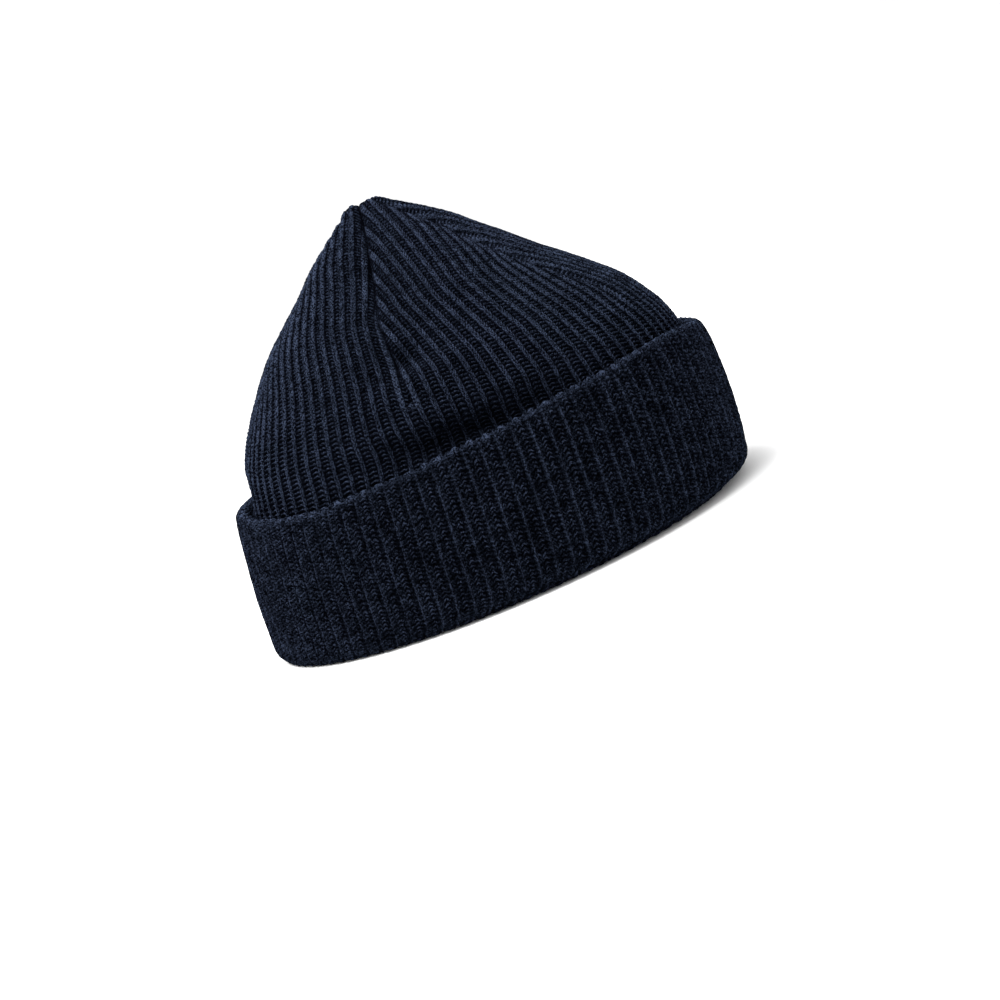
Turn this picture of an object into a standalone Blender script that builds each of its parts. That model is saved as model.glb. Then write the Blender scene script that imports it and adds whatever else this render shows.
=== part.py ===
"""Cuffed beanie, rib knit: a hollow crown of five gores and the doubled cuff turned up round it.

Metres, +Z up. The beanie rests on its rim at z = 0, the brow points along -Y and the
wearer's right side along -X. Places round the hat are shares of one turn: 0 at the brow,
0.25 at the wearer's right, 0.5 at the nape.
"""
from math import cos, pi, sin

import bmesh
import bpy
import numpy as np
from mathutils import Vector

# Driving dimensions

HAT_HEIGHT = 0.1605          # rim to the top of the crown
CUFF_LENGTH = 0.2136         # brow to nape over the cuff
CUFF_WIDTH = 0.1794          # side to side over the cuff
CUFF_HEIGHT = 0.0665         # rim to the top of the lip
CUFF_THICKNESS = 0.0072      # two layers of knit
WALL = 0.0030                # one layer of knit
FOLD_HEIGHT = 0.0080         # solid knit where the wall turns out into the cuff
FOLD_SLOPE = 0.0010          # fall of the fold's top towards the head
RIM_SEAT = 0.0040            # width of the flat ring that the rim rests on
RIM_CORNER = 0.0027          # height of the bevel from that ring to the inside of the wall
RIBS = 90
CROWN_RIB_DEPTH = 0.0012     # rib top to the valley beside it
CUFF_RIB_DEPTH = 0.0010
DART_LENGTH = 0.0900         # closing point to the lower end of a dart, along the cloth
DART_EASE = 0.30             # share of that length over which its last ribs ease into the rest
DART_WIDTH = 7.5             # ribs on each side of a dart that it pulls in
DART_DEPTH = 0.0036          # how far a dart pulls in below the crowns of its two gores
DART_DEEPEST = 0.45          # where a dart pulls in most, as a share of its length
DART_SPREAD = 0.75           # how far from there the pull fades out, likewise
DART_SHARPNESS = 2.5         # how closely the pull keeps to the dart
DENT_DEPTH = 0.0040          # deepest soft dent of the crown
NAPE_FULLNESS = 0.05         # how much wider than an ellipse the nape half is
GAP = 0.0003                 # air between the two solids

BORE_LENGTH = CUFF_LENGTH - 2 * (CUFF_THICKNESS + GAP)     # room for the crown in the cuff
BORE_WIDTH = CUFF_WIDTH - 2 * (CUFF_THICKNESS + GAP)

# Gores of the crown, in ribs from the brow by the wearer's right: the whole numbers are the tops
# of ribs and the halves are valleys. In a gore the ribs run beside the middle one.
GORE_RIBS = (
    # first  middle  last
    (-7.5, 0.0, 7.5),
    (7.5, 18.5, 25.5),
    (25.5, 27.5, 44.5),
    (44.5, 62.5, 64.5),
    (64.5, 71.5, 82.5),
)

# Outside of the cuff, from the rim up
# height: share of CUFF_HEIGHT; size: share of CUFF_LENGTH and CUFF_WIDTH;
# forward: share of CUFF_LENGTH
CUFF_SECTIONS = (
    # height  size   forward
    (0.000, 0.937, -0.027),
    (0.076, 0.987, -0.011),
    (0.190, 0.996, -0.005),
    (0.400, 1.000, 0.001),
    (0.680, 0.992, 0.008),
    (0.945, 0.972, 0.012),
)

# Height of the lip round the hat, as a share of CUFF_HEIGHT
LIP_HEIGHTS = (
    # place  height
    (0.000, 0.985),
    (0.100, 1.050),
    (0.170, 1.030),
    (0.250, 0.985),
    (0.310, 0.945),
    (0.390, 0.910),
    (0.440, 0.935),
    (0.500, 0.975),
    (0.650, 1.000),
    (0.850, 1.000),
    (1.000, 0.985),
)

# Outside of the crown above the cuff, from the lip up to the ring round the closing point
# rise: share of the crown's height above CUFF_HEIGHT; size: share of the length and width
# inside the cuff; forward: share of CUFF_LENGTH
CROWN_SECTIONS = (
    # rise   size   forward
    (0.000, 0.962, 0.012),
    (0.120, 0.930, 0.010),
    (0.205, 0.888, 0.007),
    (0.295, 0.831, 0.004),
    (0.380, 0.760, -0.003),
    (0.465, 0.686, -0.011),
    (0.550, 0.603, -0.018),
    (0.640, 0.509, -0.017),
    (0.725, 0.414, -0.016),
    (0.810, 0.325, -0.016),
    (0.900, 0.205, -0.016),
    (0.955, 0.125, -0.017),
    (1.000, 0.058, -0.019),
    (0.986, 0.000, -0.021),
)

# Soft dents of the crown; a negative depth is a bulge
# round: share of a turn; rise: as above; half_round and half_rise: how far it spreads;
# depth: share of DENT_DEPTH
CROWN_DENTS = (
    # round  rise   half_round  half_rise  depth
    (0.225, 0.050, 0.085, 0.130, 1.00),
    (0.268, 0.270, 0.065, 0.170, -0.60),
    (0.780, 0.060, 0.080, 0.130, 0.70),
    (0.520, 0.030, 0.060, 0.110, 0.60),
    (0.700, 0.300, 0.070, 0.180, -0.40),
)

LIP_STEPS = 3                # faces over the rounded lip
INNER_ROWS = (0.75,)         # rows between the fold and the lip, shares of CUFF_HEIGHT
DART_ROWS = 8                # rows down the darts
FIRST_ROW = 0.40             # place of the first of them, as a share of their even spacing
LOWER_ROWS = 2               # rows between the ends of the darts and the lip


def bell(distance):
    """One at zero, nothing at one and beyond, smooth between."""
    return 0.5 + 0.5 * cos(pi * min(abs(distance), 1.0))


def turn_between(place, other):
    """Shortest way round from one place to another, as a share of a turn."""
    return (place - other + 0.5) % 1.0 - 0.5


def even_spacing(samples=720):
    """Angles that lie evenly along the cuff's ellipse, against the share of a turn."""
    angle = np.linspace(0.0, 2.0 * pi, samples + 1)
    speed = np.hypot(CUFF_LENGTH * np.sin(angle), CUFF_WIDTH * np.cos(angle))
    way = np.concatenate([[0.0], np.cumsum((speed[1:] + speed[:-1]) / 2.0)])
    return way / way[-1], angle


TURN_SHARE, TURN_ANGLE = even_spacing()


def oval(place, half_length, half_width, forward, height):
    """Point on a horizontal section, at a share of a turn from the brow."""
    angle = np.interp(place % 1.0, TURN_SHARE, TURN_ANGLE)
    side = half_width * sin(angle) * (1.0 - NAPE_FULLNESS * cos(angle))
    return Vector((-side, -(forward + half_length * cos(angle)), height))


# Cuff

def cuff_point(place, height, inset):
    """Point on the cuff's outline at a height, a distance in from the outside."""
    share = height / CUFF_HEIGHT
    heights, sizes, shifts = zip(*CUFF_SECTIONS)
    size = np.interp(share, heights, sizes)
    forward = np.interp(share, heights, shifts) * CUFF_LENGTH
    return oval(place, size * CUFF_LENGTH / 2 - inset, size * CUFF_WIDTH / 2 - inset, forward, height)


def lip_height(place):
    """Height of the lip, which sags behind the right ear and rises in front of it."""
    for (before, low), (after, high) in zip(LIP_HEIGHTS, LIP_HEIGHTS[1:]):
        if before <= place <= after:
            blend = bell((place - before) / (after - before))
            return CUFF_HEIGHT * (low * blend + high * (1.0 - blend))
    raise ValueError("place is outside the turn")


def cuff_rings():
    """Closed loop of rings: up the outside, over the lip, down the inside, under the fold."""
    half = CUFF_THICKNESS / 2
    # Each row: share of the lip's height, height added to it, inset, share of the rib relief
    rows = [(share, 0.0, 0.0, 1.0) for share, size, forward in CUFF_SECTIONS]
    for step in range(1, LIP_STEPS):
        turn = pi * step / LIP_STEPS
        rows.append((1.0, half * (sin(turn) - 1.0), half * (1.0 - cos(turn)), sin(turn) ** 2))
    rows.append((1.0, -half, CUFF_THICKNESS, 0.0))
    rows += [(0.0, share * CUFF_HEIGHT, CUFF_THICKNESS, 0.0) for share in reversed(INNER_ROWS)]
    rows.append((0.0, FOLD_HEIGHT, CUFF_THICKNESS, 0.0))
    rows.append((0.0, FOLD_HEIGHT - FOLD_SLOPE, CUFF_THICKNESS + GAP + WALL + CROWN_RIB_DEPTH, 0.0))
    rows.append((0.0, RIM_CORNER, CUFF_THICKNESS + WALL, 0.0))
    rows.append((0.0, 0.0, RIM_SEAT, 0.0))

    rings = []
    for follow, offset, inset, relief in rows:
        ring = []
        for column in range(2 * RIBS):
            place = column / (2 * RIBS)
            # The cuff shows the back of the knit, so its ribs stand over the crown's valleys
            valley = CUFF_RIB_DEPTH * relief * (column % 2 == 0)
            height = follow * lip_height(place) + offset
            ring.append(cuff_point(place, height, inset + valley))
        rings.append(ring)
    return rings


# Crown

def crown_sections():
    """Rows of distance along the cloth, half length, half width, forward shift and height,
    from the closing point down to the top of the cuff."""
    rows = []
    for rise, size, forward in reversed(CROWN_SECTIONS):
        height = CUFF_HEIGHT + rise * (HAT_HEIGHT - CUFF_HEIGHT)
        rows.append((size * BORE_LENGTH / 2, size * BORE_WIDTH / 2, forward * CUFF_LENGTH, height))
    rows = np.array(rows)
    step = np.hypot(np.diff((rows[:, 0] + rows[:, 1]) / 2), np.diff(rows[:, 3]))
    return np.column_stack([np.concatenate([[0.0], np.cumsum(step)]), rows])


CROWN_TABLE = crown_sections()
CROWN_REACH = CROWN_TABLE[-1, 0]     # closing point to the lip, along the cloth


def dome_point(place, distance):
    """Point on the smooth crown, a distance along the cloth from the closing point."""
    section = [np.interp(distance, CROWN_TABLE[:, 0], column) for column in CROWN_TABLE[:, 1:].T]
    return oval(place, *section)


def dome_normal(place, distance, step=0.002):
    """Outward direction of the smooth crown."""
    distance = min(max(distance, step), CROWN_REACH - step)
    down = dome_point(place, distance + step) - dome_point(place, distance - step)
    round_hat = dome_point(place + step, distance) - dome_point(place - step, distance)
    return down.cross(round_hat).normalized() * -1.0


def ribs_left(distance):
    """Share of a gore's ribs that a distance from the closing point still has."""
    along = distance / DART_LENGTH
    if along >= 1.0 + DART_EASE:
        return 1.0
    return along - max(along - 1.0 + DART_EASE, 0.0) ** 2 / (4 * DART_EASE)


def dart_pull(place, distance):
    """How far the gathering at the nearest dart pulls the cloth in."""
    along = distance / DART_LENGTH
    ribs_away = min(abs(turn_between(place, last / RIBS)) * RIBS for first, middle, last in GORE_RIBS)
    near = max(1.0 - ribs_away / DART_WIDTH, 0.0)
    return DART_DEPTH * near ** DART_SHARPNESS * bell((along - DART_DEEPEST) / DART_SPREAD)


def dent_pull(place, distance):
    """Sum of the soft dents and bulges."""
    rise = (dome_point(place, distance).z - CUFF_HEIGHT) / (HAT_HEIGHT - CUFF_HEIGHT)
    pull = 0.0
    for centre, centre_rise, half_round, half_rise, depth in CROWN_DENTS:
        near_round = bell(turn_between(place, centre) / half_round)
        near_rise = bell((rise - centre_rise) / half_rise)
        pull += DENT_DEPTH * depth * near_round * near_rise
    return pull


def crown_rings():
    """Open surface of rings from the closing point to the lower edge inside the cuff.

    Each gore has a column for every valley and every rib top. The ribs end where they meet
    a dart; their clamped points coincide there and are merged."""
    dart_end = DART_LENGTH * (1.0 + DART_EASE)
    spacing = dart_end / (DART_ROWS - 1 + FIRST_ROW)
    distances = [spacing * (row + FIRST_ROW) for row in range(DART_ROWS)]
    for row in range(1, LOWER_ROWS + 1):
        distances.append(dart_end + (CROWN_REACH - dart_end) * row / LOWER_ROWS)

    rings = [[dome_point(0.0, 0.0)] * 2 * RIBS]
    for distance in distances:
        left = ribs_left(distance)
        ring = []
        for first, middle, last in GORE_RIBS:
            for half_rib in range(round(2 * (last - first))):
                rib = (first + half_rib / 2 - middle) / left
                clamped = max(first - middle, min(last - middle, rib))
                place = (middle + clamped) / RIBS
                valley = CROWN_RIB_DEPTH * (half_rib % 2 == 0 or clamped != rib)
                pull = valley + dart_pull(place, distance) + dent_pull(place, distance)
                ring.append(dome_point(place, distance) - pull * dome_normal(place, distance))
        rings.append(ring)

    # Inside the cuff the wall follows the cuff's inner face
    for share in [*reversed(INNER_ROWS), 0.0]:
        height = share * CUFF_HEIGHT if share else FOLD_HEIGHT + GAP
        ring = []
        for column in range(2 * RIBS):
            place = (GORE_RIBS[0][0] + column / 2) / RIBS
            valley = CROWN_RIB_DEPTH * (column % 2 == 0)
            ring.append(cuff_point(place, height, CUFF_THICKNESS + GAP + valley))
        rings.append(ring)
    return rings


# Building

def loft(name, rings, closed, material, collection):
    """Object whose faces join each ring of points to the next."""
    mesh = bpy.data.meshes.new(name)
    bm = bmesh.new()
    grid = [[bm.verts.new(point) for point in ring] for ring in rings]
    pairs = list(zip(grid, grid[1:] + grid[:1])) if closed else list(zip(grid, grid[1:]))
    for upper, lower in pairs:
        for index in range(len(upper)):
            after = (index + 1) % len(upper)
            bm.faces.new((upper[index], upper[after], lower[after], lower[index]))
    bmesh.ops.remove_doubles(bm, verts=bm.verts, dist=0.00001)
    bmesh.ops.recalc_face_normals(bm, faces=bm.faces)
    bm.to_mesh(mesh)
    bm.free()
    mesh.materials.append(material)
    mesh.shade_smooth()
    result = bpy.data.objects.new(name, mesh)
    collection.objects.link(result)
    return result


def knit_material(name, colour):
    material = bpy.data.materials.new(name)
    material.use_nodes = True
    shader = material.node_tree.nodes["Principled BSDF"]
    shader.inputs["Base Color"].default_value = (*colour, 1.0)
    shader.inputs["Roughness"].default_value = 0.95
    shader.inputs["Metallic"].default_value = 0.0
    return material


def build_crown(collection):
    crown = loft("crown", crown_rings(), False, knit_material("navy_knit", (0.022, 0.034, 0.064)), collection)
    wall = crown.modifiers.new("wall", "SOLIDIFY")
    wall.thickness = WALL
    wall.offset = -1.0
    wall.use_even_offset = True


def build_cuff(collection):
    loft("cuff", cuff_rings(), True, knit_material("navy_knit_back", (0.012, 0.019, 0.038)), collection)


def main():
    for old in list(bpy.data.objects):
        bpy.data.objects.remove(old, do_unlink=True)
    collection = bpy.data.collections.new("cuffed_beanie")
    bpy.context.scene.collection.children.link(collection)
    build_crown(collection)
    build_cuff(collection)


main()
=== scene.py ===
"""Looks of the cuffed rib-knit beanie: stitched crown, turned-up cuff, yarn and studio."""
from math import cos, pi, radians, sin

import bpy
import numpy as np
from bpy.props import FloatProperty, FloatVectorProperty, IntProperty, PointerProperty
from mathutils import Matrix, Vector


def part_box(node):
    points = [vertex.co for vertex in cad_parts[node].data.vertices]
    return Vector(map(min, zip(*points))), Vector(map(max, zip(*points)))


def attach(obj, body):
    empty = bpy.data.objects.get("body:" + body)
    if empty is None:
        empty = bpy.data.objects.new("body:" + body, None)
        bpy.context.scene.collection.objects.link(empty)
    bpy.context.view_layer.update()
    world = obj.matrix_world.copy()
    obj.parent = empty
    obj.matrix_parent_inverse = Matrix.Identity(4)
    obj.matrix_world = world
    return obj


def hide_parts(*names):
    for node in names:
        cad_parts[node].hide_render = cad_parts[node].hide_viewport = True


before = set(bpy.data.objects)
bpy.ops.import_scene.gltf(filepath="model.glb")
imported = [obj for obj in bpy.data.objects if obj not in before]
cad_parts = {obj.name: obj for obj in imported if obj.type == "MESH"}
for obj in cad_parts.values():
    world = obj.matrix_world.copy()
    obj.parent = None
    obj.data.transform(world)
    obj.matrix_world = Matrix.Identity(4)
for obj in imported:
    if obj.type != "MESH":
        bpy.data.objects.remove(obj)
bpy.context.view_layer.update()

bl_info = {
    "name": "Cuffed knit beanie",
    "version": (1, 0, 0),
    "blender": (4, 5, 0),
    "location": "View3D > Sidebar > Beanie",
    "description": "Models a rib-knit beanie stitch by stitch, with its turned-up cuff",
    "category": "Add Mesh",
}

# Sizes that the solids fix, in metres

CUFF_LOW, CUFF_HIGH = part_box("cuff")
CROWN_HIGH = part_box("crown")[1]
LENGTH_SHARE = 0.9928        # the widest section against the cuff's box, which the lean of the cuff lengthens
TOP_SHARE = 1.0031           # the crown's sections against its box, which the closing point's dip lowers
LIP_SHARE = 0.953            # the lip's mean height against its highest point
CUFF_LENGTH = (CUFF_HIGH.y - CUFF_LOW.y) * LENGTH_SHARE
CUFF_WIDTH = CUFF_HIGH.x - CUFF_LOW.x
CUFF_HEIGHT = CUFF_HIGH.z * LIP_SHARE
HAT_HEIGHT = CROWN_HIGH.z * TOP_SHARE
CUFF_THICKNESS = 0.0072
WALL = 0.0030
FOLD_HEIGHT = 0.0080
FOLD_SLOPE = 0.0010
RIM_SEAT = 0.0040
RIM_CORNER = 0.0027
GAP = 0.0003
RIBS = 90
DART_WIDTH = 7.5             # ribs on each side of a dart that it pulls in
DART_LENGTH = 0.0900
DART_EASE = 0.30             # share of a dart's length over which its last ribs ease into the rest
DART_END = DART_LENGTH * (1.0 + DART_EASE)
CREASE_EASE = 0.025          # how far above its end a dart's crease starts to fade
DART_DEPTH = 0.0036
DART_DEEPEST = 0.45
DART_SPREAD = 0.75
DART_SHARPNESS = 2.5
DENT_DEPTH = 0.0040
NAPE_FULLNESS = 0.05
BORE_LENGTH = CUFF_LENGTH - 2 * (CUFF_THICKNESS + GAP)
BORE_WIDTH = CUFF_WIDTH - 2 * (CUFF_THICKNESS + GAP)

# Gores of the crown, numbered in ribs from the brow: the ribs run beside the middle one
GORE_RIBS = (
    # first  middle  last
    (-7.5, 0.0, 7.5),
    (7.5, 18.5, 25.5),
    (25.5, 27.5, 44.5),
    (44.5, 62.5, 64.5),
    (64.5, 71.5, 82.5),
)

# Outside of the cuff: share of its height, share of its length and width, shift towards the brow
CUFF_SECTIONS = (
    # height  size   forward
    (0.000, 0.937, -0.027),
    (0.076, 0.987, -0.011),
    (0.190, 0.996, -0.005),
    (0.400, 1.000, 0.001),
    (0.680, 0.992, 0.008),
    (0.945, 0.972, 0.012),
)

# Height of the lip round the hat, from the brow by the wearer's right, as a share of the cuff's height
LIP_HEIGHTS = (
    # place  height
    (0.000, 0.985),
    (0.100, 1.050),
    (0.170, 1.030),
    (0.250, 0.985),
    (0.310, 0.945),
    (0.390, 0.910),
    (0.440, 0.935),
    (0.500, 0.975),
    (0.650, 1.000),
    (0.850, 1.000),
    (1.000, 0.985),
)

# Outside of the crown: share of its height above the cuff, share of the bore, shift towards the brow
CROWN_SECTIONS = (
    # rise   size   forward
    (0.000, 0.962, 0.012),
    (0.120, 0.930, 0.010),
    (0.205, 0.888, 0.007),
    (0.295, 0.831, 0.004),
    (0.380, 0.760, -0.003),
    (0.465, 0.686, -0.011),
    (0.550, 0.603, -0.018),
    (0.640, 0.509, -0.017),
    (0.725, 0.414, -0.016),
    (0.810, 0.325, -0.016),
    (0.900, 0.205, -0.016),
    (0.955, 0.125, -0.017),
    (1.000, 0.058, -0.019),
    (0.986, 0.000, -0.021),
)

# Soft dents of the crown, and bulges where the depth is negative
CROWN_DENTS = (
    # round  rise   half_round  half_rise  depth
    (0.252, 0.030, 0.115, 0.120, 1.90),
    (0.268, 0.230, 0.065, 0.140, -0.65),
    (0.272, 0.375, 0.032, 0.085, 0.80),
    (0.780, 0.060, 0.080, 0.130, 1.30),
    (0.520, 0.030, 0.060, 0.110, 1.20),
    (0.700, 0.300, 0.070, 0.180, -0.40),
)

# Heights inside the cuff where the crown's wall and the cuff's inner face are guided, as shares
INNER_SHARES = (0.85, 0.70, 0.50, 0.30)
CUFF_INNER_SHARES = (0.75, 0.45)
SEAT_DEPTH = 0.0012          # how far the fold reaches in below the crown's wall
LIP_STEPS = 6

# Stitch columns of one rib, as shares of its pitch from the middle of the rib
CROWN_COLUMNS = (-0.50, -0.37, -0.25, -0.18, -0.10, 0.0, 0.10, 0.18, 0.25, 0.37)
CUFF_COLUMNS = (-0.50, -0.42, -0.333, -0.167, -0.06, 0.0, 0.06, 0.167, 0.333, 0.42)
BACK_COLUMNS = (-0.50, -0.20, 0.20)        # the same on the inside of the crown

# Rows of points, along the cloth
ROWS_PER_STITCH = 4
CUFF_INNER_ROWS = 9
CUFF_UNDER_ROWS = 22
DENSE_DEPTH = 0.0120         # how far below the lip the crown keeps its full stitches
HIDDEN_ROWS = 26             # rows of the crown below that
CUFF_PIECES = 3
NORMAL_STEP = 0.0008         # step that the cuff's outward directions are measured over
MERGE_DISTANCE = 0.000002
SHARP_ANGLE = radians(100.0)

# Stitches of the crown: a V on the rib and a bar in the valley
RIB_HALF = 0.25              # half width of a rib's face, as a share of its pitch
LEAN = 1.5                   # rise of a V's leg from the rib's middle to its side, in stitches
LEG_START = 0.62             # height of a strand where the V's legs meet, as a share of its highest
LEG_ROUNDNESS = 0.75         # the power that rounds the strands
GROOVE_SHARE = 0.35          # depth of the grooves between the strands at the rib's foot, as a share
BAR_RISE = 0.4               # rise of the bars in the valleys, in stitches
BAR_PHASE = 0.25             # how far the bars lie from the V's, in stitches
BAR_POWER = 2.4              # the power that narrows the bars
HOLE_EASE = 0.45             # share of a valley's half width over which its holes deepen
# Painted light and shade of the stitches: the lit attribute is bright on the strands and darker in the
# grooves, at a rib's foot and in the valleys' holes, where shade falls
BAR_LIT = 1.05               # how light the bars in the valleys are against the strands of the ribs
FOOT_LIT = 0.20              # how light a rib's foot is against its top
GROOVE_LIT = 0.30            # how light the grooves are against the strands

# Stitches of the cuff: a thin upright strand on the rib and three small arcs between
LINE_HALF = 0.10             # half width of the upright strand, as a share of the pitch
GROOVE_PLACE = 0.15          # middle of the groove beside the strand, as a share of the pitch
GROOVE_HALF = 0.10           # its half width
FAINT_GROOVE = 0.45          # its depth before the strand, counted from the brow, against after it
ARC_RISE = 0.50              # rise of the small arcs, in stitches
ARC_SIDE = 0.30              # where the middle arc starts, as a share of the pitch from the strand
ARC_STAGGER = 0.5            # how far the middle arc lies from the others, in stitches
ARC_STRAY = 0.40             # how far single arcs stray from their row, in stitches
ARC_POWER = 2.2              # the power that narrows the arcs
LINE_RUN = 6.0               # how many stitches of a strand share one brightness
LINE_LIT = (0.50, 0.70)      # brightness of the dimmest strand, and what the brightest has more
LINE_POWER = 1.5             # the power that makes bright strands rarer
# Painted shade: darker between a strand's stitches, at an arc's ends and in the groove beside the strand
LINE_BREAKS = 0.25           # how much darker a strand is between its stitches
ARC_LIT = (0.35, 1.30)       # brightness of the dimmest arc, and what the brightest has more
ARC_ENDS_LIT = 0.4           # how light an arc's ends are against its middle
GROOVE_SHADE = 0.7           # how much darker the arcs are in the groove

# Where the cloth is stretched, eased or folded
NARROWING = 0.40             # how much narrower the ribs' faces are at the lip, where the cloth is stretched
LOW_FLATNESS = 0.45          # how much flatter the ribs are there
STRETCH_START = 0.085        # where that stretch starts, along the cloth from the closing point
FRONT_GORE = 0
FRONT_FLATNESS = 0.75        # how much flatter the front gore's knit is, where the cloth is stretched
FRONT_HALF = 0.160           # how far round from the brow that reaches, as a share of a turn
FRONT_MIDDLE = 0.060         # where it is flattest, along the cloth from the closing point
FRONT_REACH = 0.070          # how far up and down the cloth it reaches from there
FRONT_LIT = 0.5              # brightness that the flattened knit comes nearer to
FRONT_EVENNESS = 0.6         # how near it comes
TIP_DEPTH = 0.45             # depth of the ribs at the closing point against those lower down
TIP_REACH = 0.030            # where they reach their full depth
TIP_EASE = 0.006             # length over which stitches start to stray, below the closing point
FOOT_EASE = 0.012            # the same above the crown's foot
CREASE_HALF = 0.45           # half width of a dart's crease, in ribs
TUCK_DEPTH = 0.0012          # how far below the ribs' feet a dart's crease is tucked in
TUCK_START = 0.004           # where the tuck starts, along the cloth from the closing point
TUCK_EASE = 0.022            # length over which it deepens
BACK_RIB_DEPTH = 0.0011      # depth of the ribs on the inside of the crown
BACK_LIT = (0.3, 0.5)        # brightness between those ribs, and what their tops have more
BACK_TONE = 0.5
# Painted shade in the soft dents, darkest in the trough above the lip
TROUGH_SHADE = 0.60          # how much darker the strands are in a dent twice DENT_DEPTH deep
SWELL = 0.00020              # how much thicker some stitches are than others

# Lip, rim and inner side of the cuff
SCALLOP = 0.0009             # how far the ribs stand out at the lip and the rim
LIP_SOFTNESS = 0.0070        # how far on each side of the lip's top its waves, fuzz and painted light reach
FUZZ_AND_LIGHT_LEAST = 0.4             # fuzz and painted light of the smoothest stitch on the lip against the fuzziest
FUZZ_AND_LIGHT_FILL = 0.8               # how far the fuzz and painted light fill the gaps between the strands
FUZZ_AND_LIGHT_TONE = 1.8              # how much lighter the fuzz and painted light make a stitch
CUFF_EASE = 0.008            # length over which stitches start to stray, above the rim
INNER_EASE = 0.015           # length over which they stop to stray, inside the lip
SEAT_EASE = (0.003, 0.004)   # lengths above and before the rim's flat ring over which the knit flattens
SEAT_FLATNESS = 0.6          # how much flatter it is there
INNER_FLATNESS = 0.4         # depth of the knit on the cuff's inner face against the outer
RIM_WAVES = (0.006, 0.003)   # lengths above and before the rim that its waves reach

# Pattern of the yarn
SPECKLE_CONTRAST = 6.5
STRAND_COVER = (0.03, 1.6)   # colour of a strand in the darkest speck, and what the lightest has more
LOOSE_FIBRES = 0.02          # how much of a light speck shows between the strands
DARKEST_TONE = 0.70          # brightness of the darkest stitch
STITCH_TONES = 0.60          # how much stitches differ in brightness
PATCH_TONES = 0.60           # how much patches differ

# Studio
FLOOR_RADIUS = 12.0
FLOOR_GREY = 0.92
KEY_PLACE = (-0.25, 0.4, 1.4)
KEY_SIZE = 1.0


class KnitSettings(bpy.types.PropertyGroup):
    """Sizes of the stitches."""
    stitch_height: FloatProperty(
        name="Stitch height", description="Height of one course of the knit",
        default=0.00173, min=0.001, max=0.004, subtype="DISTANCE", unit="LENGTH")
    rib_depth: FloatProperty(
        name="Rib depth", description="Top of a crown rib to the foot of the rib",
        default=0.00095, min=0.0, max=0.003, subtype="DISTANCE", unit="LENGTH")
    cuff_rib_depth: FloatProperty(
        name="Cuff rib depth", description="Top of a cuff rib to the foot of the rib",
        default=0.00050, min=0.0, max=0.003, subtype="DISTANCE", unit="LENGTH")
    strand_depth: FloatProperty(
        name="Strand depth", description="Depth of the grooves between the strands of a rib",
        default=0.00070, min=0.0, max=0.002, subtype="DISTANCE", unit="LENGTH")
    hole_depth: FloatProperty(
        name="Hole depth", description="Depth of the holes in the valleys beside a rib",
        default=0.00125, min=0.0, max=0.002, subtype="DISTANCE", unit="LENGTH")
    cuff_hole_depth: FloatProperty(
        name="Cuff hole depth", description="The same on the cuff",
        default=0.00100, min=0.0, max=0.002, subtype="DISTANCE", unit="LENGTH")
    unevenness: FloatProperty(
        name="Unevenness", description="How far stitches stray from their even rows, in stitches",
        default=0.16, min=0.0, max=0.5)
    seed: IntProperty(name="Seed", description="Seed of the stitches' unevenness", default=7)


class YarnSettings(bpy.types.PropertyGroup):
    """Colours of the yarn, linear, with the painted shade of its hollows and of the cuff."""
    strand: FloatVectorProperty(
        name="Strand", description="Colour of the strands that face outwards",
        default=(0.0258, 0.0345, 0.0590), size=3, min=0.0, max=1.0, subtype="COLOR")
    # Painted shade: the near-black colour of the gaps, grooves and holes between the strands, where the knit
    # is in shadow
    hollow_shade: FloatVectorProperty(
        name="Hollow", description="Colour between the strands",
        default=(0.0006, 0.0007, 0.0014), size=3, min=0.0, max=1.0, subtype="COLOR")
    fibre: FloatVectorProperty(
        name="Fibre", description="Tint of the short fibres that stand off the yarn",
        default=(0.45, 0.55, 0.85), size=3, min=0.0, max=1.0, subtype="COLOR")
    # Painted shade: the cuff's yarn is a darker copy of the crown's, for its upright side that gets less
    # light from above
    cuff_painted_shade: FloatProperty(
        name="Cuff shade", description="Brightness of the cuff's side of the knit against the crown's",
        default=0.70, min=0.0, max=1.5)


class StudioSettings(bpy.types.PropertyGroup):
    """Camera and light."""
    distance: FloatProperty(
        name="Distance", description="Camera to the hat", default=0.8684, min=0.2,
        subtype="DISTANCE", unit="LENGTH")
    elevation: FloatProperty(
        name="Elevation", description="Camera's angle above the horizon",
        default=radians(9.0), subtype="ANGLE")
    roll: FloatProperty(
        name="Roll", description="Turn of the camera about its own axis",
        default=radians(22.7), subtype="ANGLE")
    aim_height: FloatProperty(
        name="Aim height", description="Height of the point that the camera looks at",
        default=0.0310, subtype="DISTANCE", unit="LENGTH")
    lens: FloatProperty(name="Lens", description="Focal length in millimetres", default=75.6, min=10.0)
    shift: FloatVectorProperty(
        name="Shift", description="Shift of the picture's centre, as shares of its width",
        default=(0.009, -0.010), size=2)
    key: FloatProperty(name="Key light", description="Power of the key light", default=40.0,
                       subtype="POWER", unit="POWER")
    sky: FloatProperty(name="Surround", description="Strength of the even light all round", default=1.10)


class Wire:
    """An output socket that Python's arithmetic works on; each step adds a Math node."""

    def __init__(self, graph, socket):
        self.graph = graph
        self.socket = socket

    def math(self, operation, *values):
        return self.graph.node("ShaderNodeMath", {"operation": operation}, dict(enumerate(values)))

    def __add__(self, other):
        return self.math("ADD", self, other)

    def __radd__(self, other):
        return self.math("ADD", other, self)

    def __sub__(self, other):
        return self.math("SUBTRACT", self, other)

    def __rsub__(self, other):
        return self.math("SUBTRACT", other, self)

    def __mul__(self, other):
        return self.math("MULTIPLY", self, other)

    def __rmul__(self, other):
        return self.math("MULTIPLY", other, self)

    def clipped(self):
        return self.math("MINIMUM", self.math("MAXIMUM", self, 0.0), 1.0)


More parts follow.
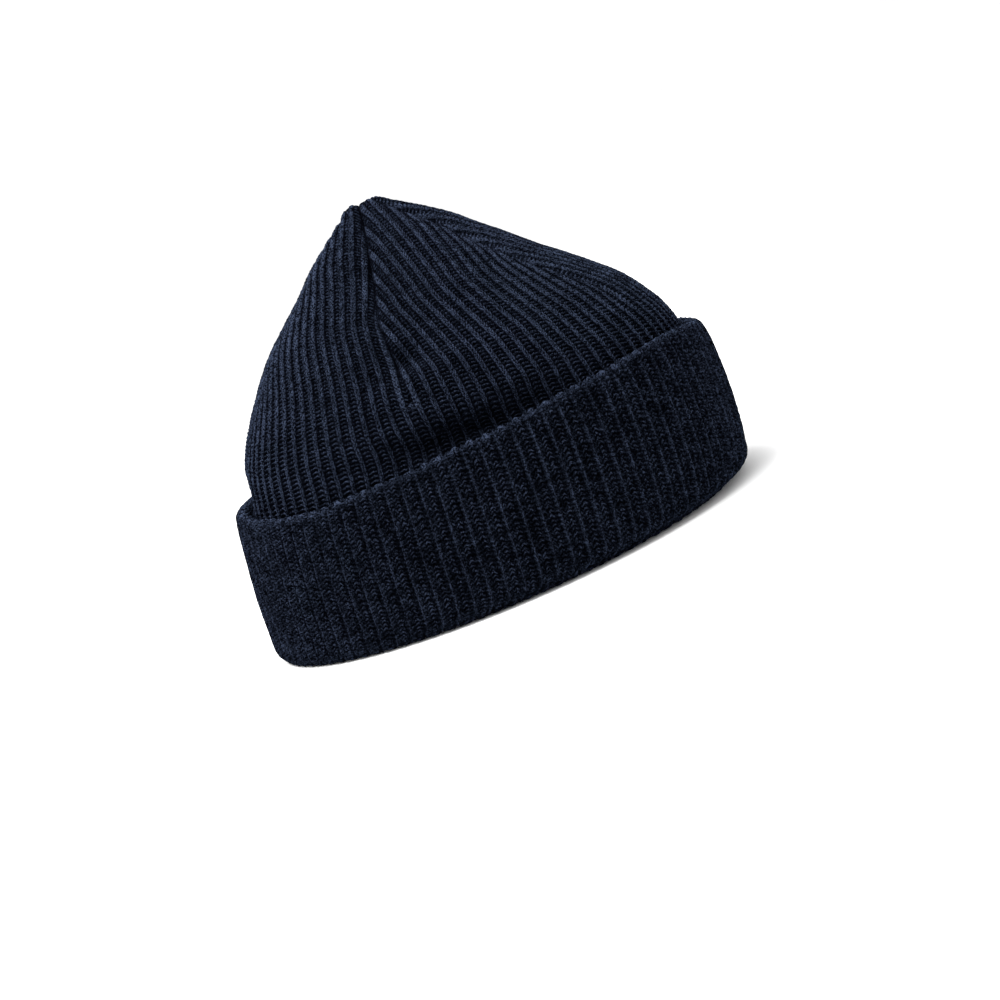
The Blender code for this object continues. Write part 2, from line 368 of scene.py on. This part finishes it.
class Graph:
    """The node tree of one material."""

    def __init__(self, material):
        material.use_nodes = True
        self.tree = material.node_tree
        self.shader = self.tree.nodes["Principled BSDF"]

    def node(self, kind, settings=None, values=None, output=0):
        """Adds a node, sets its settings, then its sockets' values or links."""
        added = self.tree.nodes.new(kind)
        for name, value in (settings or {}).items():
            setattr(added, name, value)
        for name, value in (values or {}).items():
            self.feed(added.inputs[name], value)
        return Wire(self, added.outputs[output])

    def feed(self, socket, value):
        if isinstance(value, Wire):
            self.tree.links.new(value.socket, socket)
        elif isinstance(socket.default_value, (int, float)):
            socket.default_value = value
        else:
            socket.default_value = (*value, 1.0) if len(socket.default_value) == 4 else value

    def blend(self, factor, first, second, mode="MIX"):
        """Mix of two colours."""
        return self.node("ShaderNodeMix", {"data_type": "RGBA", "blend_type": mode},
                         {0: factor, 6: first, 7: second}, output=2)


# Shape of the hat

def clamp(value):
    """The value, kept between nothing and one."""
    return np.clip(value, 0.0, 1.0)


def bell(distance):
    """One at zero, nothing at one and beyond, smooth between."""
    return 0.5 + 0.5 * np.cos(pi * np.minimum(np.abs(distance), 1.0))


def smooth(x, knots, values):
    """Smooth curve through the values at the knots."""
    knots = np.asarray(knots, float)
    values = np.asarray(values, float)
    slopes = np.gradient(values, knots)
    x = np.clip(x, knots[0], knots[-1])
    before = np.clip(np.searchsorted(knots, x) - 1, 0, len(knots) - 2)
    span = knots[before + 1] - knots[before]
    t = (x - knots[before]) / span
    rise = values[before + 1] - values[before]
    start = slopes[before] * span
    end = slopes[before + 1] * span
    return values[before] + t * (start + t * (3 * rise - 2 * start - end + t * (start + end - 2 * rise)))


def even_spacing(samples=1440):
    """Angles that lie evenly along the cuff's ellipse, against the share of a turn."""
    angle = np.linspace(0.0, 2.0 * pi, samples + 1)
    speed = np.hypot(CUFF_LENGTH * np.sin(angle), CUFF_WIDTH * np.cos(angle))
    way = np.concatenate([[0.0], np.cumsum((speed[1:] + speed[:-1]) / 2.0)])
    return way / way[-1], angle


TURN_SHARE, TURN_ANGLE = even_spacing()


def oval(place, half_length, half_width, forward, height):
    """Points on horizontal sections, at shares of a turn from the brow."""
    turns = np.floor(place)
    angle = np.interp(place - turns, TURN_SHARE, TURN_ANGLE) + 2.0 * pi * turns
    side = half_width * np.sin(angle) * (1.0 - NAPE_FULLNESS * np.cos(angle))
    return np.stack([-side, -(forward + half_length * np.cos(angle)), height + 0.0 * angle], axis=-1)


def cuff_section(share, inset):
    """Half length, half width and forward shift of the cuff's outline at a share of its height."""
    heights, sizes, shifts = zip(*CUFF_SECTIONS)
    size = np.interp(share, heights, sizes)
    forward = np.interp(share, heights, shifts) * CUFF_LENGTH
    return size * CUFF_LENGTH / 2 - inset, size * CUFF_WIDTH / 2 - inset, forward


def lip_height(place):
    """Height of the lip."""
    places, heights = zip(*LIP_HEIGHTS)
    place = place - np.floor(place)
    before = np.clip(np.searchsorted(places, place) - 1, 0, len(places) - 2)
    low, high = np.array(places)[before], np.array(places)[before + 1]
    blend = bell((place - low) / (high - low))
    heights = np.array(heights)
    return CUFF_HEIGHT * (heights[before] * blend + heights[before + 1] * (1.0 - blend))


def crown_profile():
    """Rows of distance along the cloth, half length, half width, forward shift and height,
    from the closing point down to the fold inside the cuff."""
    rows = []
    for rise, size, forward in reversed(CROWN_SECTIONS):
        height = CUFF_HEIGHT + rise * (HAT_HEIGHT - CUFF_HEIGHT)
        rows.append((size * BORE_LENGTH / 2, size * BORE_WIDTH / 2, forward * CUFF_LENGTH, height))
    inset = CUFF_THICKNESS + GAP
    for share in INNER_SHARES:
        rows.append((*cuff_section(share, inset), share * CUFF_HEIGHT))
    foot = FOLD_HEIGHT + GAP
    rows.append((*cuff_section(foot / CUFF_HEIGHT, inset), foot))
    rows = np.array(rows)
    step = np.hypot(np.diff((rows[:, 0] + rows[:, 1]) / 2), np.diff(rows[:, 3]))
    return np.column_stack([np.concatenate([[0.0], np.cumsum(step)]), rows])


CROWN_TABLE = crown_profile()
CROWN_REACH = CROWN_TABLE[len(CROWN_SECTIONS) - 1, 0]     # closing point to the lip
CROWN_END = CROWN_TABLE[-1, 0]


def crown_point(place, distance):
    """Points on the smooth crown, a distance along the cloth from the closing point."""
    half_length, half_width, forward, height = (
        smooth(distance, CROWN_TABLE[:, 0], column) for column in CROWN_TABLE[:, 1:].T)
    return oval(place, half_length, half_width, forward, height)


def facing(across, along):
    """Unit normals from two sets of tangents."""
    normal = np.cross(along, across)
    return normal / np.linalg.norm(normal, axis=-1, keepdims=True)


def crown_normal(place, distance, step=0.0015):
    """Outward directions of the smooth crown."""
    distance = np.clip(distance, 2 * step, CROWN_END - step)
    along = crown_point(place, distance + step) - crown_point(place, distance - step)
    across = crown_point(place + step, distance) - crown_point(place - step, distance)
    return -facing(across, along)


def ribs_left(distance):
    """Share of a gore's ribs that a distance from the closing point still has."""
    along = distance / DART_LENGTH
    eased = along - np.maximum(along - 1.0 + DART_EASE, 0.0) ** 2 / (4 * DART_EASE)
    return np.where(along < 1.0 + DART_EASE, eased, 1.0)


def dent_pull(place, distance):
    """How far the soft dents pull the cloth in."""
    rise = (crown_point(place, distance)[..., 2] - CUFF_HEIGHT) / (HAT_HEIGHT - CUFF_HEIGHT)
    pull = 0.0
    for centre, centre_rise, half_round, half_rise, depth in CROWN_DENTS:
        near = bell(((place - centre + 0.5) % 1.0 - 0.5) / half_round)
        pull = pull + DENT_DEPTH * depth * near * bell((rise - centre_rise) / half_rise)
    return pull


def dart_pull(place, distance):
    """How far the gathering at the nearest dart pulls the cloth in."""
    along = distance / DART_LENGTH
    darts = np.array([last for first, middle, last in GORE_RIBS])
    away = np.abs((place[..., None] * RIBS - darts + RIBS / 2) % RIBS - RIBS / 2).min(axis=-1)
    near = np.maximum(1.0 - away / DART_WIDTH, 0.0)
    return DART_DEPTH * near ** DART_SHARPNESS * bell((along - DART_DEEPEST) / DART_SPREAD)


# Stitches

def drift(place, along, seed, waves=9, most_turns=14, pace=0.12):
    """Slow, smooth variation between about -1 and 1 that closes round the hat."""
    random = np.random.default_rng(seed)
    total = 0.0
    for _ in range(waves):
        turns = random.integers(-most_turns, most_turns + 1)
        slant = random.uniform(-1, 1) * along * pace
        total = total + np.sin(2 * pi * (turns * place + slant) + random.uniform(0, 2 * pi))
    return total / waves ** 0.5


def per_stitch(rib, course, seed, courses=256):
    """A number between 0 and 1 for each stitch."""
    random = np.random.default_rng(seed)
    table = random.random((RIBS, courses))
    return table[np.mod(np.round(rib).astype(int), RIBS), np.mod(np.floor(course).astype(int), courses)]


def rib_shares(offset):
    """How far a point is from the rib's middle to its foot, and from there to the valley's middle."""
    side = np.abs(offset)
    return clamp(side / RIB_HALF), clamp((side - RIB_HALF) / (0.5 - RIB_HALF))


def strand_rise(offset):
    """How far up the cloth a row of stitches has risen beside the rib's middle, in stitches.

    Its V on the rib points down the cloth, and its bar in the valley points up."""
    leg, bar = rib_shares(offset)
    return LEAN * leg + BAR_RISE * bar


def rib_relief(offset, phase, depth, knit):
    """Height of a one-by-one rib below its highest strands, and how lit a point is: bright on the strands,
    with painted shade in the grooves, at the rib's foot and in the holes of the valleys.

    offset: share of the pitch from the middle of the rib; phase: stitches along the cloth."""
    leg, bar_way = rib_shares(offset)
    arch = np.sin(pi * leg)
    arch = np.where(leg < 0.5, LEG_START + (1.0 - LEG_START) * arch, arch) ** LEG_ROUNDNESS
    strand = 0.5 + 0.5 * np.cos(2 * pi * phase)
    groove = knit.strand_depth * (1.0 - strand)
    rib = -depth * (1.0 - arch) - groove * (GROOVE_SHARE + (1.0 - GROOVE_SHARE) * arch)
    # Painted shade at the rib's foot and in the grooves between its strands
    rib_lit = (FOOT_LIT + (1.0 - FOOT_LIT) * arch) * (GROOVE_LIT + (1.0 - GROOVE_LIT) * strand)

    bar = (0.5 + 0.5 * np.cos(2 * pi * (phase + BAR_PHASE))) ** BAR_POWER
    hole = knit.hole_depth * (1.0 - bar) * np.minimum(bar_way / HOLE_EASE, 1.0)
    valley = -depth - groove * GROOVE_SHARE - hole
    on_rib = np.abs(offset) < RIB_HALF
    # Painted shade in the valley: dark in the holes between the bars and beside the rib's foot
    return np.where(on_rib, rib, valley), np.where(on_rib, rib_lit, BAR_LIT * bar * bar_way)


def narrowing(offset, amount):
    """Shift that narrows a rib's face by a share and widens the valleys beside it."""
    side = np.abs(offset)
    way = np.minimum(side, RIB_HALF * (0.5 - side) / (0.5 - RIB_HALF))
    return -np.sign(offset) * amount * way


def arc_height(offset):
    """Height of the small arcs between the cuff's ribs, as a share of their highest."""
    return np.abs(np.sin(3 * pi * offset))


def cuff_relief(rib, phase, knit):
    """The same for the cuff's side of the knit: a thin upright strand at each rib with a groove
    beside it, and between the ribs three small arcs, the middle one half a course higher."""
    offset = rib - np.round(rib)
    side = np.abs(offset)
    line = bell(offset / LINE_HALF)
    groove = bell((side - GROOVE_PLACE) / GROOVE_HALF) * np.where(offset < 0.0, FAINT_GROOVE, 1.0)
    loop = np.round(rib) * 3 + np.floor((offset + 0.5) * 3)
    stray = ARC_STRAY * (per_stitch(loop, phase, knit.seed + 7) - 0.5)
    stagger = np.where(side > ARC_SIDE, ARC_STAGGER, 0.0) + stray
    arc = (0.5 + 0.5 * np.cos(2 * pi * (phase + stagger))) ** ARC_POWER
    gap = knit.cuff_hole_depth * (1.0 - arc) * (1.0 - line)
    height = -knit.cuff_rib_depth * (1.0 - line + groove) - gap

    # How lit each point is: strands and arcs of random brightness, with painted shade between the stitches,
    # at the arcs' ends and in the groove
    own = per_stitch(rib, phase / LINE_RUN, knit.seed + 4) ** LINE_POWER
    line_lit = line * (LINE_LIT[0] + LINE_LIT[1] * own) * (1.0 - LINE_BREAKS * (1.0 - arc))
    own = per_stitch(loop, phase, knit.seed + 6)
    ends_lit = ARC_ENDS_LIT + (1.0 - ARC_ENDS_LIT) * arc_height(offset)
    arc_lit = arc * (ARC_LIT[0] + ARC_LIT[1] * own) * (1.0 - GROOVE_SHADE * groove) * ends_lit
    return height, np.maximum(line_lit, arc_lit)


def wander(rib, phase, place, knit):
    """How far the stitches stray from their even rows, in stitches."""
    own = per_stitch(rib, 0.0 * phase, knit.seed + 1) - 0.5
    return knit.unevenness * (drift(place, phase, knit.seed) + 0.5 * own)


def knit_surface(base, normal, rib, phase, height, lit, knit):
    """Points of a knitted face over a smooth surface, and the tone of each stitch."""
    tone = per_stitch(rib, phase, knit.seed + 2)
    swell = SWELL * (per_stitch(rib, phase, knit.seed + 3) - 0.5) * lit
    return base + (height + swell)[..., None] * normal, tone


def stitch_grid(name, points, layers, uvs):
    """Object made from a grid primitive whose vertices are laid on the given points.

    layers: name and value of each attribute; uvs: rib and course of each point."""
    rows, columns = points.shape[:2]
    bpy.ops.object.select_all(action="DESELECT")
    bpy.ops.mesh.primitive_grid_add(x_subdivisions=columns - 1, y_subdivisions=rows - 1, size=2.0)
    piece = bpy.context.object
    piece.name = name
    mesh = piece.data
    mesh.name = name
    flat = np.empty(len(mesh.vertices) * 3)
    mesh.vertices.foreach_get("co", flat)
    flat = flat.reshape(-1, 3)
    column = np.round((flat[:, 0] + 1.0) / 2.0 * (columns - 1)).astype(int)
    row = np.round((1.0 - flat[:, 1]) / 2.0 * (rows - 1)).astype(int)
    mesh.vertices.foreach_set("co", points[row, column].ravel())
    for layer, values in layers.items():
        attribute = mesh.attributes.new(layer, "FLOAT", "POINT")
        attribute.data.foreach_set("value", values[row, column].astype(np.float32))
    corner = np.empty(len(mesh.loops), int)
    mesh.loops.foreach_get("vertex_index", corner)
    corner_uvs = uvs[row[corner], column[corner]].astype(np.float32)
    mesh.uv_layers.active.data.foreach_set("uv", corner_uvs.ravel())
    mesh.update()
    return piece


def close_piece():
    """Merges the active piece's points that coincide and fills the openings that are left."""
    bpy.ops.object.mode_set(mode="EDIT")
    bpy.ops.mesh.select_all(action="SELECT")
    bpy.ops.mesh.remove_doubles(threshold=MERGE_DISTANCE)
    bpy.ops.mesh.select_all(action="DESELECT")
    bpy.ops.mesh.select_mode(type="EDGE")
    bpy.ops.mesh.select_non_manifold(extend=False, use_wire=False, use_multi_face=False,
                                     use_non_contiguous=False, use_verts=False)
    bpy.ops.mesh.edge_face_add()
    bpy.ops.mesh.select_all(action="SELECT")
    bpy.ops.mesh.normals_make_consistent(inside=False)
    bpy.ops.object.mode_set(mode="OBJECT")
    bpy.ops.object.shade_smooth_by_angle(angle=SHARP_ANGLE)


def crown_rows(knit):
    """Distances of the crown's rows of points from the closing point, along the cloth."""
    row_height = knit.stitch_height / ROWS_PER_STITCH
    dense = np.arange(0.0, CROWN_REACH + DENSE_DEPTH, row_height)
    hidden = np.linspace(dense[-1] + row_height, CROWN_END, HIDDEN_ROWS)
    return np.concatenate([dense, hidden])[:, None]


def gore_face(gore, columns, rows, inside, knit):
    """Points of one face of a gore, how lit each is with painted light and shade, its tone, and its rib and
    course.
    """
    first, middle, last = GORE_RIBS[gore]
    spread = np.maximum(ribs_left(rows), 1e-6)
    start, end = (first - middle) * spread, (last - middle) * spread
    rib = np.clip(columns[None, :] - middle, start, end)
    room = np.minimum(rib - start, end - rib)
    number = middle + rib
    offset = number - np.round(number)
    course = rows / knit.stitch_height + 0.0 * rib

    # Stitches stray and slant only where they are free of the darts and the ends
    ends = clamp(rows / TIP_EASE) * clamp((CROWN_END - rows) / FOOT_EASE)
    free = np.where(rows >= DART_END, 1.0, clamp(room)) * ends
    low = clamp((rows - STRETCH_START) / (CROWN_REACH - STRETCH_START))
    place = (middle + (rib + narrowing(offset, NARROWING * low) * free) / spread) / RIBS
    shift = wander(number, course, place, knit) - strand_rise(offset)
    distance = rows + knit.stitch_height * shift * free
    normal = crown_normal(place, distance)
    dent = dent_pull(place, distance)
    base = crown_point(place, distance) - (dart_pull(place, distance) + dent)[..., None] * normal
    pattern_place = np.stack([number, course], axis=-1)

    if inside:
        # The inside shows the other face of the knit: its ribs lie behind the outer valleys
        back_rib = bell((number - np.floor(number) - 0.5) / 0.5)
        wall = WALL - BACK_RIB_DEPTH * (1.0 - back_rib)
        # Painted shade between the inside's ribs
        lit = BACK_LIT[0] + BACK_LIT[1] * back_rib
        return base - wall[..., None] * normal, lit, BACK_TONE + 0.0 * rib, pattern_place

    depth = knit.rib_depth * np.clip(rows / TIP_REACH, TIP_DEPTH, 1.0) * (1.0 - LOW_FLATNESS * low)
    height, lit = rib_relief(offset, course, depth, knit)
    if gore == FRONT_GORE:
        flat = FRONT_FLATNESS * bell(place / FRONT_HALF) * bell((distance - FRONT_MIDDLE) / FRONT_REACH)
        height = height * (1.0 - flat)
        lit = lit + (FRONT_LIT - lit) * FRONT_EVENNESS * flat
    points, tone = knit_surface(base, normal, number, course, height, lit, knit)

    # The crease of a dart: the knit is tucked in between the gores
    crease = clamp((DART_END - rows) / CREASE_EASE)
    smoothness = 1.0 - crease * (1.0 - np.sin(pi / 2 * clamp(room / CREASE_HALF)))
    tuck = (knit.rib_depth + TUCK_DEPTH) * clamp((rows - TUCK_START) / TUCK_EASE)
    tucked = base - tuck[..., None] * normal
    points = points * smoothness[..., None] + tucked * (1.0 - smoothness[..., None])
    # Painted shade: the knit darkens in a dart's tucked crease and in the dents
    lit = lit * smoothness * (1.0 - TROUGH_SHADE * clamp(dent / (2 * DENT_DEPTH)))
    return points, lit, tone, pattern_place


def gore_piece(gore, knit):
    """One closed piece of the crown: outer face, inner face and the walls along its darts."""
    first, middle, last = GORE_RIBS[gore]
    ribs = np.arange(first + 0.5, last)[:, None]
    outer = np.append((ribs + np.array(CROWN_COLUMNS)).ravel(), last)
    inner = np.append((ribs + np.array(BACK_COLUMNS)).ravel(), last)[::-1]
    rows = crown_rows(knit)
    outside_face = gore_face(gore, outer, rows, False, knit)
    inside_face = gore_face(gore, inner, rows, True, knit)
    points, lit, tone, uvs = (
        np.concatenate([front, back, front[:, :1]], axis=1)
        for front, back in zip(outside_face, inside_face))
    piece = stitch_grid(f"crown_gore_{gore + 1}", points, {"lit": lit, "tone": tone}, uvs)
    close_piece()
    return piece


def cuff_rows():
    """The cuff's cross-section as a closed path: share of the lip's height, height added to it,
    share of the cuff's height that gives its size, and inset, one row for each guide point."""
    half = CUFF_THICKNESS / 2
    fold_share = FOLD_HEIGHT / CUFF_HEIGHT
    rows = [(share, 0.0, share, 0.0) for share, size, forward in CUFF_SECTIONS]
    for step in range(1, LIP_STEPS + 1):
        turn = pi * step / LIP_STEPS
        rows.append((1.0, half * (sin(turn) - 1.0), 1.0, half * (1.0 - cos(turn))))
    rows += [(0.0, share * CUFF_HEIGHT, share, CUFF_THICKNESS) for share in CUFF_INNER_SHARES]
    rows.append((0.0, FOLD_HEIGHT, fold_share, CUFF_THICKNESS))
    rows.append((0.0, FOLD_HEIGHT - FOLD_SLOPE, fold_share, CUFF_THICKNESS + GAP + WALL + SEAT_DEPTH))
    rows.append((0.0, RIM_CORNER, RIM_CORNER / CUFF_HEIGHT, CUFF_THICKNESS + WALL))
    rows.append((0.0, 0.0, 0.0, RIM_SEAT))
    return np.array(rows + rows[:1])


def cuff_piece(number, knit):
    """One closed third of the cuff."""
    guide = cuff_rows()
    heights, sizes, shifts = zip(*CUFF_SECTIONS)
    size = np.interp(guide[:, 2], heights, sizes)
    forward = np.interp(guide[:, 2], heights, shifts) * CUFF_LENGTH
    radial = size * (CUFF_LENGTH + CUFF_WIDTH) / 4 - guide[:, 3]
    level = guide[:, 0] * CUFF_HEIGHT + guide[:, 1]
    way = np.concatenate([[0.0], np.cumsum(np.hypot(np.diff(radial), np.diff(level)))])

    # Lengths along the path from the rim: up the outside, over the lip, down to the fold, and back
    lip_row = len(CUFF_SECTIONS) - 1
    fold_row = lip_row + LIP_STEPS + len(CUFF_INNER_SHARES) + 1
    lip_start, lip_end, fold, path_end = way[lip_row], way[lip_row + LIP_STEPS], way[fold_row], way[-1]
    outside = np.arange(0.0, lip_end, knit.stitch_height / ROWS_PER_STITCH)
    inside = np.linspace(lip_end, fold, CUFF_INNER_ROWS)
    under = np.linspace(fold, path_end, CUFF_UNDER_ROWS)
    along = np.concatenate([outside, inside, under[1:]])[:, None]

    ribs = np.arange(RIBS // CUFF_PIECES) + number * RIBS // CUFF_PIECES
    rib = np.append((ribs[:, None] + np.array(CUFF_COLUMNS)).ravel(), ribs[-1] + 0.5)[None, :]
    place = (rib - 0.5) / RIBS + 0.0 * along
    phase = -along / knit.stitch_height + 0.0 * place
    ends = clamp(along / CUFF_EASE) * clamp(1.0 - (along - lip_end) / INNER_EASE)
    offset = rib - np.round(rib)
    shift = wander(rib + 0.0 * place, phase, place, knit) - ARC_RISE * arc_height(offset)

    def point(place, along):
        follow, added, share, inset, ahead, grown = (
            smooth(along, way, column) for column in (*guide.T, forward, size))
        level = np.maximum(follow * lip_height(place) + added, 0.0)
        return oval(place, grown * CUFF_LENGTH / 2 - inset, grown * CUFF_WIDTH / 2 - inset, ahead, level)

    step = NORMAL_STEP
    spread = along - knit.stitch_height * shift * ends
    base = point(place, spread)
    onwards = point(place, np.minimum(spread + step, path_end)) - point(place, np.maximum(spread - step, 0.0))
    across = point(place + step, spread) - point(place - step, spread)
    normal = facing(across, onwards)
    above, before = SEAT_EASE
    seat = clamp(clamp(1.0 - (path_end - spread) / before) + clamp(1.0 - spread / above))
    flatness = np.where(spread > lip_end, INNER_FLATNESS, 1.0) * (1.0 - SEAT_FLATNESS * seat)
    height, lit = cuff_relief(rib, phase, knit)
    points, tone = knit_surface(base, normal, rib, phase, height, lit, knit)
    points = base + (points - base) * flatness[..., None]

    # The ribs wave the lip and the rim; the lip is lighter, partly from short fibres that stand off it and
    # partly from painted light on its top
    wave = np.cos(pi * (offset + 0.5)) ** 2
    lip = bell((spread - (lip_start + lip_end) / 2) / LIP_SOFTNESS)
    above, before = RIM_WAVES
    rim = clamp(1.0 - spread / above) + clamp(1.0 - (path_end - spread) / before)
    points = points + (SCALLOP * (wave - 0.5) * lip)[..., None] * normal
    points[..., 2] += SCALLOP * (1.0 - wave) * np.minimum(rim, 1.0)
    own = per_stitch(rib, phase, knit.seed + 5)
    fuzz_and_light = lip * wave * (FUZZ_AND_LIGHT_LEAST + (1.0 - FUZZ_AND_LIGHT_LEAST) * own)
    lit = lit + (1.0 - lit) * FUZZ_AND_LIGHT_FILL * fuzz_and_light
    tone = tone + FUZZ_AND_LIGHT_TONE * fuzz_and_light
    points[-1] = points[0]
    uvs = np.stack([rib + 0.0 * place, phase], axis=-1)
    piece = stitch_grid(f"cuff_part_{number + 1}", points, {"lit": lit, "tone": tone}, uvs)
    close_piece()
    return piece


# Yarn

def yarn_material(name, yarn, shade):
    """Navy wool-like yarn: lighter strands, hollows darkened with painted shade, a fine heather and short
    fibres.
    """
    material = bpy.data.materials.new(name)
    graph = Graph(material)
    place = graph.node("ShaderNodeTexCoord", output="Object")
    lit = graph.node("ShaderNodeAttribute", {"attribute_name": "lit"}, output="Fac")
    tone = graph.node("ShaderNodeAttribute", {"attribute_name": "tone"}, output="Fac")
    speckle = graph.node(
        "ShaderNodeTexNoise", {},
        {"Vector": place, "Scale": 1600.0, "Detail": 1.0, "Roughness": 0.60}, "Fac")
    patches = graph.node("ShaderNodeTexNoise", {}, {"Vector": place, "Scale": 90.0, "Detail": 2.0}, "Fac")
    # The cuff's copy is darkened by its painted shade
    strand = tuple(channel * shade for channel in yarn.strand)
    hollow_shade = tuple(channel * shade for channel in yarn.hollow_shade)
    speck = (0.5 + SPECKLE_CONTRAST * (speckle - 0.5)).clipped()
    cover = STRAND_COVER[0] + STRAND_COVER[1] * speck
    # The lit attribute and the speckle blend from the painted shade of the hollows to the strands' colour
    colour = graph.blend((lit * cover + LOOSE_FIBRES * speck).clipped(), hollow_shade, strand)
    bright = DARKEST_TONE + STITCH_TONES * tone + PATCH_TONES * (patches - 0.5)
    grey = graph.node("ShaderNodeCombineColor", {}, {"Red": bright, "Green": bright, "Blue": bright})
    colour = graph.blend(1.0, colour, grey, "MULTIPLY")
    graph.feed(graph.shader.inputs["Base Color"], colour)
    graph.feed(graph.shader.inputs["Roughness"], 0.92)
    graph.feed(graph.shader.inputs["Specular IOR Level"], 0.0)
    graph.feed(graph.shader.inputs["Sheen Weight"], 0.004)
    graph.feed(graph.shader.inputs["Sheen Roughness"], 0.45)
    graph.feed(graph.shader.inputs["Sheen Tint"], tuple(yarn.fibre))
    bump = graph.node("ShaderNodeBump", {}, {"Strength": 0.6, "Distance": 0.0004, "Height": speckle})
    graph.feed(graph.shader.inputs["Normal"], bump)
    return material


def dress(piece, material, node):
    """Gives a piece its yarn and puts it in the place of a solid."""
    piece.data.materials.clear()
    piece.data.materials.append(material)
    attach(piece, "root")
    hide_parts(node)


class BEANIE_OT_crown(bpy.types.Operator):
    """Knits the gores of the crown"""
    bl_idname = "beanie.crown"
    bl_label = "Knit the crown"

    def execute(self, context):
        material = yarn_material("navy_yarn", context.scene.beanie_yarn, 1.0)
        for gore in range(len(GORE_RIBS)):
            dress(gore_piece(gore, context.scene.beanie_knit), material, "crown")
        return {"FINISHED"}


class BEANIE_OT_cuff(bpy.types.Operator):
    """Knits the cuff that is turned up round the crown"""
    bl_idname = "beanie.cuff"
    bl_label = "Knit the cuff"

    def execute(self, context):
        yarn = context.scene.beanie_yarn
        # A darker copy of the yarn, painted shade for the upright cuff
        material = yarn_material("navy_yarn_back_painted_shade", yarn, yarn.cuff_painted_shade)
        for number in range(CUFF_PIECES):
            dress(cuff_piece(number, context.scene.beanie_knit), material, "cuff")
        return {"FINISHED"}


def add_light(name, place, target, size, power):
    """Soft square light that faces its target."""
    bpy.ops.object.light_add(type="AREA", location=place)
    light = bpy.context.object
    light.name = name
    light.data.size = size
    light.data.energy = power
    light.rotation_euler = (Vector(target) - Vector(place)).to_track_quat("-Z", "Y").to_euler()


class BEANIE_OT_studio(bpy.types.Operator):
    """Sets up the floor, the light and the camera"""
    bl_idname = "beanie.studio"
    bl_label = "Set up the studio"

    def execute(self, context):
        studio = context.scene.beanie_studio
        scene = context.scene
        bpy.ops.object.select_all(action="DESELECT")
        bpy.ops.mesh.primitive_circle_add(
            vertices=96, radius=FLOOR_RADIUS, fill_type="NGON", location=(0, 0, 0))
        floor = context.object
        floor.name = "studio_floor"
        paper = bpy.data.materials.new("pale_floor")
        graph = Graph(paper)
        graph.feed(graph.shader.inputs["Base Color"], (FLOOR_GREY, FLOOR_GREY, FLOOR_GREY))
        graph.feed(graph.shader.inputs["Roughness"], 0.9)
        floor.data.materials.append(paper)

        scene.view_settings.view_transform = "Standard"
        world = bpy.data.worlds.new("soft_studio")
        scene.world = world
        world.use_nodes = True
        surround = world.node_tree.nodes["Background"]
        surround.inputs["Color"].default_value = (1.0, 1.0, 1.0, 1.0)
        surround.inputs["Strength"].default_value = studio.sky

        aim = Vector((0.0, 0.0, studio.aim_height))
        add_light("key_light", KEY_PLACE, aim, KEY_SIZE, studio.key)

        back = Vector((-cos(studio.elevation), 0.0, sin(studio.elevation)))
        right = (-back).cross(Vector((0.0, 0.0, 1.0))).normalized()
        up = right.cross(-back)
        turn_x = right * cos(studio.roll) - up * sin(studio.roll)
        turn_y = right * sin(studio.roll) + up * cos(studio.roll)
        bpy.ops.object.camera_add(location=aim + back * studio.distance)
        camera = context.object
        camera.name = "camera"
        place = Matrix((turn_x, turn_y, back)).transposed().to_4x4()
        place.translation = aim + back * studio.distance
        camera.matrix_world = place
        camera.data.lens = studio.lens
        camera.data.shift_x, camera.data.shift_y = studio.shift
        scene.camera = camera
        return {"FINISHED"}


class BEANIE_PT_panel(bpy.types.Panel):
    """Lists the steps and their sizes"""
    bl_label = "Cuffed beanie"
    bl_space_type = "VIEW_3D"
    bl_region_type = "UI"
    bl_category = "Beanie"

    def draw(self, context):
        groups = (
            (context.scene.beanie_knit, ("beanie.crown", "beanie.cuff")),
            (context.scene.beanie_yarn, ()),
            (context.scene.beanie_studio, ("beanie.studio",)),
        )
        for settings, operators in groups:
            box = self.layout.box()
            for name in settings.bl_rna.properties.keys():
                if name not in {"rna_type", "name"}:
                    box.prop(settings, name)
            for operator in operators:
                box.operator(operator)


CLASSES = (KnitSettings, YarnSettings, StudioSettings, BEANIE_OT_crown, BEANIE_OT_cuff, BEANIE_OT_studio,
           BEANIE_PT_panel)


def register():
    for kind in CLASSES:
        bpy.utils.register_class(kind)
    bpy.types.Scene.beanie_knit = PointerProperty(type=KnitSettings)
    bpy.types.Scene.beanie_yarn = PointerProperty(type=YarnSettings)
    bpy.types.Scene.beanie_studio = PointerProperty(type=StudioSettings)


def unregister():
    del bpy.types.Scene.beanie_studio
    del bpy.types.Scene.beanie_yarn
    del bpy.types.Scene.beanie_knit
    for kind in reversed(CLASSES):
        bpy.utils.unregister_class(kind)


def main():
    register()
    bpy.ops.beanie.crown()
    bpy.ops.beanie.cuff()
    bpy.ops.beanie.studio()


if __name__ == "__main__":
    main()
